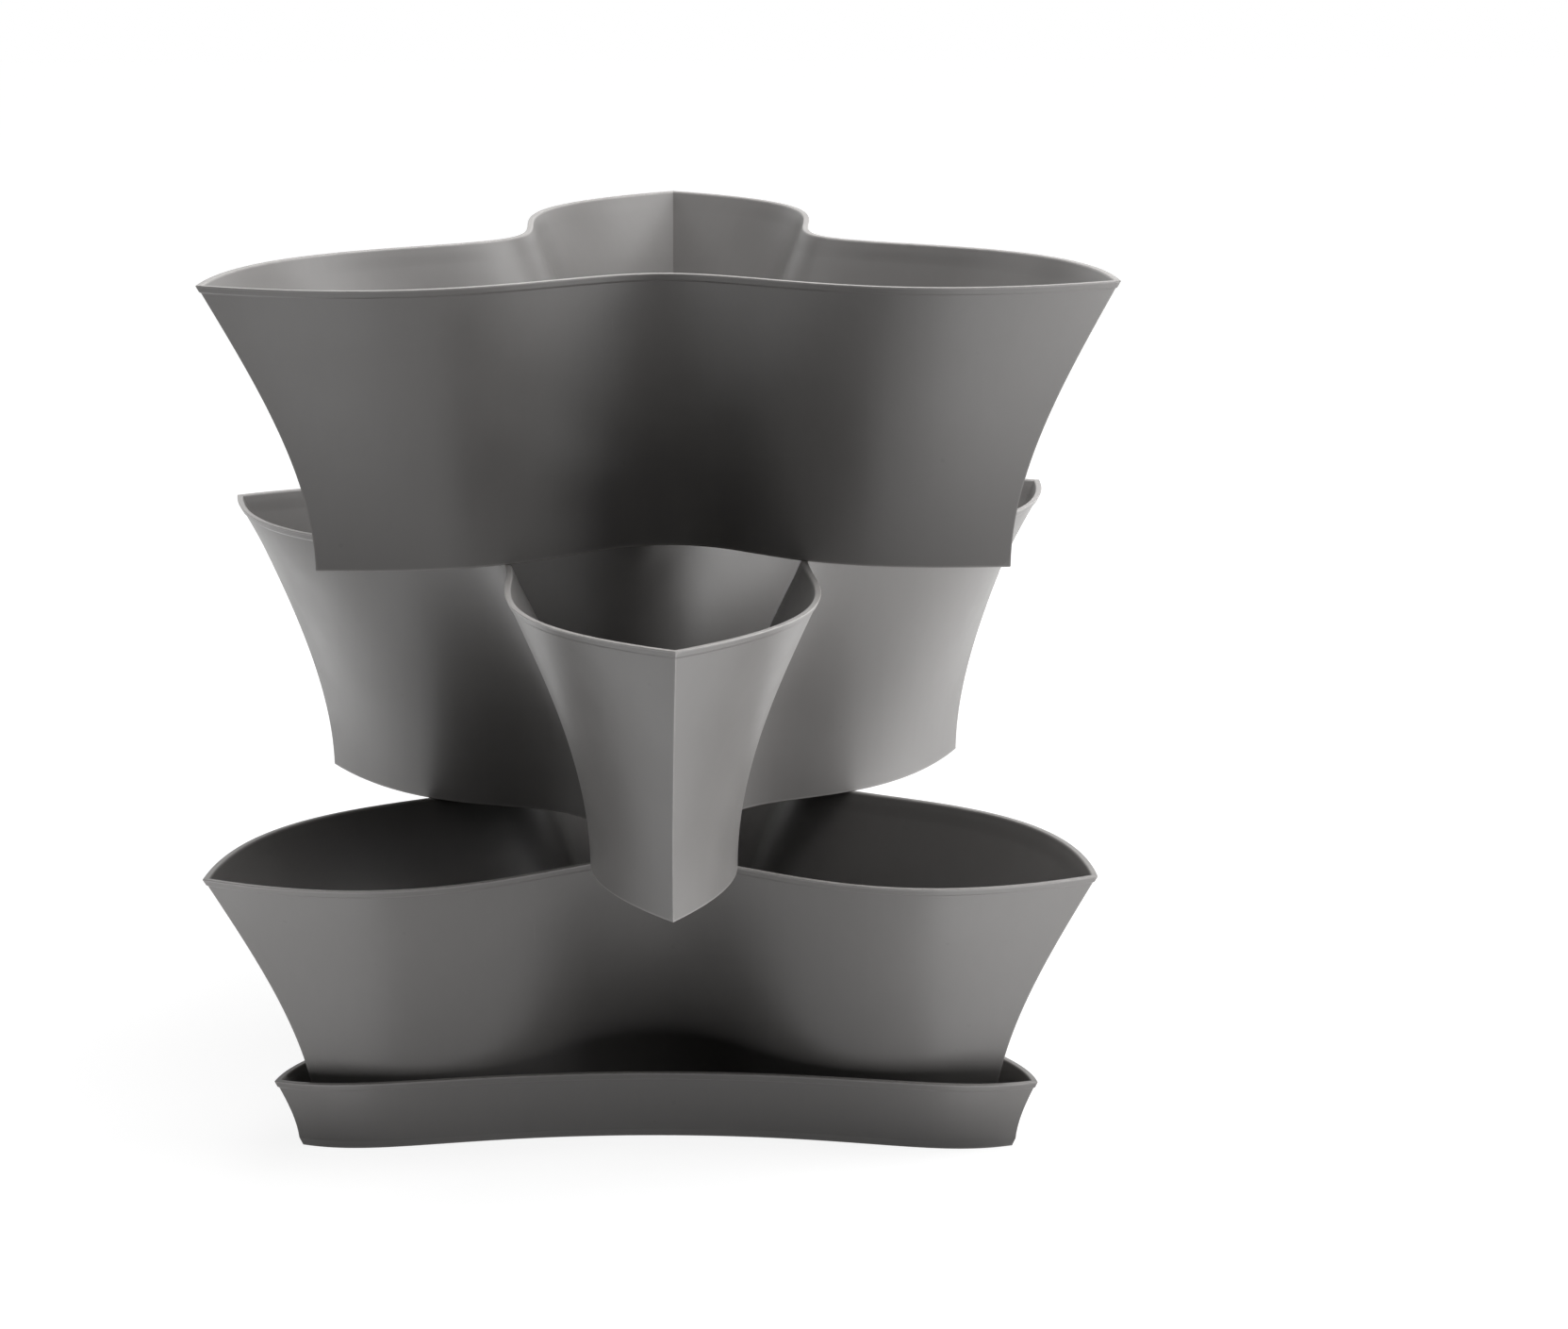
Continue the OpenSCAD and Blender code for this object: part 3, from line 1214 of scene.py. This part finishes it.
class Dust(Effect):
    """A thin film of dust on faces that look up, thicker in hollows of the noise.

    Attributes:
        up: Upward parts of the normal between which a face begins to hold dust.
        scale: Scale of the noise.
        cloud: Noise values between which the film goes from none to full.
    """

    name = "dust_film"
    amounts = {"Facing": 0.0, "Amount": 0.3}
    outputs = ("Mask",)
    up: Span = (0.6, 1.0)
    scale: float = 60.0
    cloud: Span = (0.35, 0.75)

    def make(self, graph: Graph, given: Node) -> dict[str, Socket]:
        """Keeps the noise to faces that look up.

        Args:
            graph: The group's tree.
            given: Its input node.

        Returns:
            Output name to socket.
        """
        up = graph.ramp(given.outputs["Facing"], self.up)
        cloud = graph.noise(given.outputs["Place"], self.scale, detail=5.0, rough=0.7)
        film = graph.times(graph.ramp(cloud, self.cloud), up)
        return {"Mask": graph.times(film, given.outputs["Amount"], clamp=True)}


@dataclass(frozen=True)
class MouldedPlastic:
    """Satin grey plastic as it comes out of the mould, a little handled.

    Attributes:
        name: Name of the material.
        seed: How far the textures are moved, so that no two mouldings are marked alike.
        colour: Colour of the plastic, linear.
        shades: Darkest and lightest shade of the clean plastic, times its colour.
        mottle_share: Share of the mottle in the shade. The flow marks have the rest.
        speck_shade: Shade of a speck.
        speck_strength: How strongly the specks show.
        rubbed_shade: Shade of a rubbed place.
        crest_rub_and_highlight_shade: Shade of the very crest of an edge, partly rubbed plastic and partly
            painted highlight.
        crest_rub_and_highlight_strength: How strongly the crests show, as rubbed plastic and as painted
            highlight.
        scuff_shade: How strongly a scratch lightens the plastic, beside a rubbed edge.
        wear: How strongly edges are rubbed.
        scuffs: How strongly the faces are scratched.
        dust: How much dust lies on it.
        dust_colour: Colour of the dust.
        roughness: Roughness of the clean surface.
        rough_range: How far the mottle changes the roughness, each way.
        rubbed_rough: How much rougher a rubbed place is.
        dust_rough: How much rougher dust is.
        grain_depth: Depth of the mould's grain.
        scratch_depth: Depth of a scratch, as a share of the grain's.
        refraction: Index of refraction.
    """

    name: str
    seed: Place
    colour: Colour = (0.169, 0.163, 0.159)
    shades: Span = (0.965, 1.035)
    mottle_share: float = 0.5
    speck_shade: float = 0.6
    speck_strength: float = 0.5
    rubbed_shade: float = 1.28
    crest_rub_and_highlight_shade: float = 2.4
    crest_rub_and_highlight_strength: float = 0.6
    scuff_shade: float = 0.6
    wear: float = 0.35
    scuffs: float = 0.35
    dust: float = 0.10
    dust_colour: Colour = (0.33, 0.32, 0.30)
    roughness: float = 0.40
    rough_range: float = 0.025
    rubbed_rough: float = 0.12
    dust_rough: float = 0.4
    grain_depth: float = 0.018 * MM
    scratch_depth: float = 0.8
    refraction: float = 1.5

    def build(self) -> bpy.types.Material:
        """Makes the material.

        Returns:
            The material, with its node tree.
        """
        material = bpy.data.materials.new(self.name)
        graph = Graph.of(material)
        spot = graph.node("ShaderNodeTexCoord").outputs["Object"]
        place = graph.node("ShaderNodeVectorMath", {0: spot, 1: self.seed}, operation="ADD").outputs[0]
        edge = graph.node("ShaderNodeAttribute", attribute_name=EDGE_LAYER).outputs["Fac"]
        normal = graph.node("ShaderNodeNewGeometry").outputs["Normal"]
        facing = graph.node("ShaderNodeSeparateXYZ", {0: normal}).outputs["Z"]
        grain = MouldGrain().put(graph, {"Place": place}).outputs
        flow = FlowMarks().put(graph, {"Place": place}).outputs
        scuffs = Scuffs().put(graph, {"Place": place, "Amount": self.scuffs}).outputs
        wear = EdgeWearAndHighlight().put(graph, {"Place": place, "Edge": edge, "Amount": self.wear}).outputs
        dust = Dust().put(graph, {"Place": place, "Facing": facing, "Amount": self.dust}).outputs["Mask"]
        marks = graph.larger(wear["Mask"], graph.times(scuffs["Mask"], self.scuff_shade))
        tone = self.tone(graph, grain["Mottle"], flow["Tone"], scuffs["Spots"])
        rubbed = self.blend(graph, marks, tone, self.shaded(self.rubbed_shade))
        # Pale crest on rims, ridges and feet: partly rubbed plastic, partly painted highlight.
        crest_rub_and_highlight_share = graph.times(wear["Crest"], self.crest_rub_and_highlight_strength)
        worn = self.blend(graph, crest_rub_and_highlight_share, rubbed, self.shaded(self.crest_rub_and_highlight_shade))
        colour = self.blend(graph, dust, worn, self.dust_colour)
        rough = self.rough(graph, grain["Mottle"], marks, dust)
        height = graph.less(grain["Height"], graph.times(scuffs["Mask"], self.scratch_depth))
        bump = graph.node("ShaderNodeBump", {"Height": height, "Distance": self.grain_depth, "Strength": 1.0})
        values = {"Base Color": colour, "Roughness": rough, "Normal": bump.outputs[0], "IOR": self.refraction}
        shader = graph.node("ShaderNodeBsdfPrincipled", values)
        graph.node("ShaderNodeOutputMaterial", {"Surface": shader.outputs[0]})
        return material

    def shaded(self, shade: float) -> Colour:
        """Returns the plastic's colour times a shade."""
        return tuple(shade * part for part in self.colour)

    def tone(self, graph: Graph, mottle: Value, flow: Value, spots: Value) -> Socket:
        """Varies the plastic's colour a little.

        Args:
            graph: The material's tree.
            mottle: Broad mottle, 0 to 1.
            flow: Flow streaks, 0 to 1.
            spots: Small dark specks, 0 to 1.

        Returns:
            The colour.
        """
        dark, light = (self.shaded(shade) for shade in self.shades)
        share = graph.mixed(mottle, flow, self.mottle_share)
        clean = self.blend(graph, share, (*dark, 1.0), light)
        specks = graph.times(spots, self.speck_strength)
        return self.blend(graph, specks, clean, self.shaded(self.speck_shade))

    def rough(self, graph: Graph, mottle: Value, marks: Value, dust: Value) -> Socket:
        """Varies the roughness.

        Args:
            graph: The material's tree.
            mottle: Broad mottle, 0 to 1.
            marks: Rubbed places, 0 to 1.
            dust: Dust, 0 to 1.

        Returns:
            The roughness.
        """
        ends = (self.roughness - self.rough_range, self.roughness + self.rough_range)
        base = graph.ramp(mottle, (0.0, 1.0), ends)
        rubbed = graph.plus(base, graph.times(marks, self.rubbed_rough))
        return graph.plus(rubbed, graph.times(dust, self.dust_rough), clamp=True)

    @staticmethod
    def blend(graph: Graph, share: Value, under: Value, over: Colour) -> Socket:
        """Lays one colour over another.

        Args:
            graph: The material's tree.
            share: How much of the upper one shows.
            under: The lower colour, as a socket or a tuple of four.
            over: The upper colour.

        Returns:
            The mixed colour.
        """
        values = {MIX_SHARE: share, MIX_UNDER: under, MIX_OVER: (*over, 1.0)}
        return graph.node("ShaderNodeMix", values, data_type="RGBA").outputs[MIX_RESULT]


@dataclass(frozen=True)
class Lamp:
    """A soft studio light.

    Attributes:
        name: Its name.
        place: Where it stands.
        power: Its power in watts.
        width: Its width.
        height: Its height.
        aim: The point that it looks at.
    """

    name: str
    place: Place
    power: float
    width: float
    height: float
    aim: Place = LAMP_AIM

    @classmethod
    def board(cls, name: str, x: float, y: float, power: float, size: float) -> "Lamp":
        """Describes a square board that lies on the floor and throws light straight up.

        Args:
            name: Its name.
            x: Where its middle is, to the right.
            y: Where its middle is, to the back.
            power: Its power in watts.
            size: Its width.

        Returns:
            The light.
        """
        return cls(name, (x, y, BOARD_HEIGHT), power, size, size, aim=(x, y, 1.0))

    def build(self) -> bpy.types.Object:
        """Makes the light.

        Returns:
            The light's object.
        """
        data = bpy.data.lights.new(self.name, "AREA")
        data.shape = "RECTANGLE"
        data.size, data.size_y, data.energy = self.width, self.height, self.power
        lamp = linked(self.name, data)
        lamp.location = self.place
        away = Vector(self.place) - Vector(self.aim)
        lamp.rotation_euler = away.to_track_quat("Z", "Y").to_euler()
        lamp.visible_camera = False
        return lamp


@dataclass
class Studio:
    """Pale floor, pale surroundings and soft lights.

    Attributes:
        lamps: The lights.
        floor_size: Width of the floor.
        floor_colour: How pale the floor is as it lights the tower.
        shadow_colour: How pale the part of the shown floor is that takes the tower's shadow.
        near_glow: How white the shown floor is in full shadow.
        white_from: Distances from the tower over which the shown floor turns plain white.
        around: Strength of the room round the tower as light on it.
        backdrop: Parts of a direction to the back between which the room turns white in gloss.
    """

    lamps: tuple[Lamp, ...] = (
        Lamp("top_softbox", (0.0, 0.0, 1.4), 12.7, 0.8, 0.8),
        Lamp("top_right_softbox", (0.6, 0.0, 1.3), 6.8, 0.6, 0.6),
        Lamp("right_softbox", (1.6, 0.0, 1.0), 14.8, 1.1, 0.7),
        Lamp("right_low_softbox", (1.6, 0.0, 0.3), 14.2, 1.1, 0.5),
        Lamp("front_right_softbox", (1.13, -1.13, 1.0), 1.8, 1.1, 0.7),
        Lamp("left_softbox", (-1.6, 0.0, 1.0), 3.7, 1.1, 0.7),
        Lamp("left_low_softbox", (-1.6, 0.0, 0.3), 2.8, 1.1, 0.5),
        Lamp.board("right_floor_panel", 0.95, 0.0, 7.9, 0.7),
        Lamp.board("front_right_board", 0.297, -0.297, 0.6, 0.34),
        Lamp.board("front_left_board", -0.297, -0.297, 0.4, 0.34),
        Lamp.board("left_board", -0.42, 0.0, 0.22, 0.34),
        Lamp.board("left_back_board", -0.297, 0.297, 0.28, 0.34),
    )
    floor_size: float = 12.0
    floor_colour: float = 0.33
    shadow_colour: float = 0.24
    near_glow: float = 0.87
    white_from: Span = (0.4, 1.2)
    around: float = 0.005
    backdrop: Span = (0.45, 0.85)

    def build(self) -> None:
        """Makes the whole studio."""
        for lamp in self.lamps:
            lamp.build()
        self.floor()
        self.world()

    def floor(self) -> bpy.types.Object:
        """Lays the floor under the tower.

        Returns:
            The floor's object.
        """
        half = self.floor_size / 2
        corners = [(-half, -half, 0), (half, -half, 0), (half, half, 0), (-half, half, 0)]
        mesh = bpy.data.meshes.new("floor")
        mesh.from_pydata(corners, [], [(0, 1, 2, 3)])
        piece = linked("floor", mesh)
        mesh.materials.append(self.floor_finish())
        piece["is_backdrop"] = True
        return piece

    @staticmethod
    def seen(graph: Graph) -> Socket:
        """Tells whether the background is seen, straight or through something clear.

        Args:
            graph: The tree to work in.

        Returns:
            1 where it is seen and 0 where it only gives light.
        """
        path = graph.node("ShaderNodeLightPath").outputs
        return graph.larger(path["Is Camera Ray"], path["Is Transmission Ray"])

    def floor_finish(self) -> bpy.types.Material:
        """Makes the floor's white, which keeps the tower's shadow.

        Returns:
            The material.
        """
        material = bpy.data.materials.new("floor_white")
        graph = Graph.of(material)
        plain, soft = (
            graph.node("ShaderNodeBsdfDiffuse", {"Color": (shade, shade, shade, 1.0)}).outputs[0]
            for shade in (self.floor_colour, self.shadow_colour)
        )
        place = graph.node("ShaderNodeNewGeometry").outputs["Position"]
        away = graph.node("ShaderNodeVectorMath", {0: place}, operation="LENGTH").outputs["Value"]
        mirrored = graph.node("ShaderNodeLightPath").outputs["Is Glossy Ray"]
        strength = graph.larger(graph.ramp(away, self.white_from, (self.near_glow, 1.0)), mirrored)
        glow = graph.node("ShaderNodeEmission", {"Color": (1, 1, 1, 1), "Strength": strength})
        white = graph.node("ShaderNodeAddShader", {0: soft, 1: glow.outputs[0]})
        shown = graph.larger(self.seen(graph), mirrored)
        mix = graph.node("ShaderNodeMixShader", {0: shown, 1: plain, 2: white.outputs[0]})
        graph.node("ShaderNodeOutputMaterial", {"Surface": mix.outputs[0]})
        return material

    def world(self) -> None:
        """Makes the surroundings: white where seen, white in gloss behind the tower, dim as light."""
        world = bpy.data.worlds.new("surroundings")
        bpy.context.scene.world = world
        graph = Graph.of(world)
        towards = graph.node("ShaderNodeTexCoord").outputs["Generated"]
        back = graph.node("ShaderNodeSeparateXYZ", {0: towards}).outputs["Y"]
        glossy = graph.node("ShaderNodeLightPath").outputs["Is Glossy Ray"]
        mirrored = graph.times(glossy, graph.ramp(back, self.backdrop))
        strength = graph.larger(graph.larger(self.seen(graph), mirrored), self.around)
        white = graph.node("ShaderNodeBackground", {"Color": (1, 1, 1, 1), "Strength": strength})
        graph.node("ShaderNodeOutputWorld", {"Surface": white.outputs[0]})


@dataclass(frozen=True)
class Viewpoint:
    """The camera, where the photographer stood.

    Attributes:
        place: Its place in the frame.
        heading: Turn to the left of straight ahead, in degrees.
        pitch: How far it looks down, in degrees.
        roll: Its roll, in degrees.
        focal_px: Focal length in pixels of the picture.
        picture_width: Width of the picture in pixels.
        sensor: Width of the sensor in millimetres.
        clip: Nearest and farthest distance shown.
    """

    place: Place = (0.07995, -1.6385, 0.6092)
    heading: float = 0.8
    pitch: float = 13.98
    roll: float = -0.23
    focal_px: float = 3855.1
    picture_width: float = 1663.0
    sensor: float = 36.0
    clip: Span = (0.05, 50.0)

    def build(self) -> bpy.types.Object:
        """Makes the camera and sets it as the scene's own.

        Returns:
            The camera's object.
        """
        data = bpy.data.cameras.new("camera")
        data.sensor_width = self.sensor
        data.lens = self.focal_px * self.sensor / self.picture_width
        data.clip_start, data.clip_end = self.clip
        camera = linked("camera", data)
        turns = ((self.heading, "Z"), (90 - self.pitch, "X"), (self.roll, "Z"))
        heading, pitch, roll = (Matrix.Rotation(math.radians(angle), 4, axis) for angle, axis in turns)
        camera.matrix_world = Matrix.Translation(self.place) @ (heading @ pitch @ roll)
        bpy.context.scene.camera = camera
        return camera


def mouldings() -> Iterator[Moulding]:
    """Returns the four mouldings, from the ground up."""
    yield Saucer("saucer", ("saucer_floor", "saucer_wall"), Heading.BACK)
    headings = {"lower_pot": Heading.BACK, "middle_pot": Heading.FRONT, "upper_pot": Heading.BACK}
    for name, heading in headings.items():
        yield Pot(name, (name,), heading)


def write_sizes() -> None:
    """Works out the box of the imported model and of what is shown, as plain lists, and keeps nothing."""
    boxes = {"cad": CAD_BOX, "visual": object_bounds()}
    {name: [list(corner_at) for corner_at in box] for name, box in boxes.items()}


def main() -> None:
    """Builds the tower, its finish, the studio and the camera."""
    logging.basicConfig(level=logging.INFO, format="%(name)s: %(message)s")
    for number, moulding in enumerate(mouldings()):
        piece = moulding.build()
        moulding.dress(piece, tuple(step * number for step in SEED_STEP))
    Studio().build()
    Viewpoint().build()
    bpy.context.scene.view_settings.view_transform = "Standard"
    write_sizes()


if __name__ == "__main__":
    main()
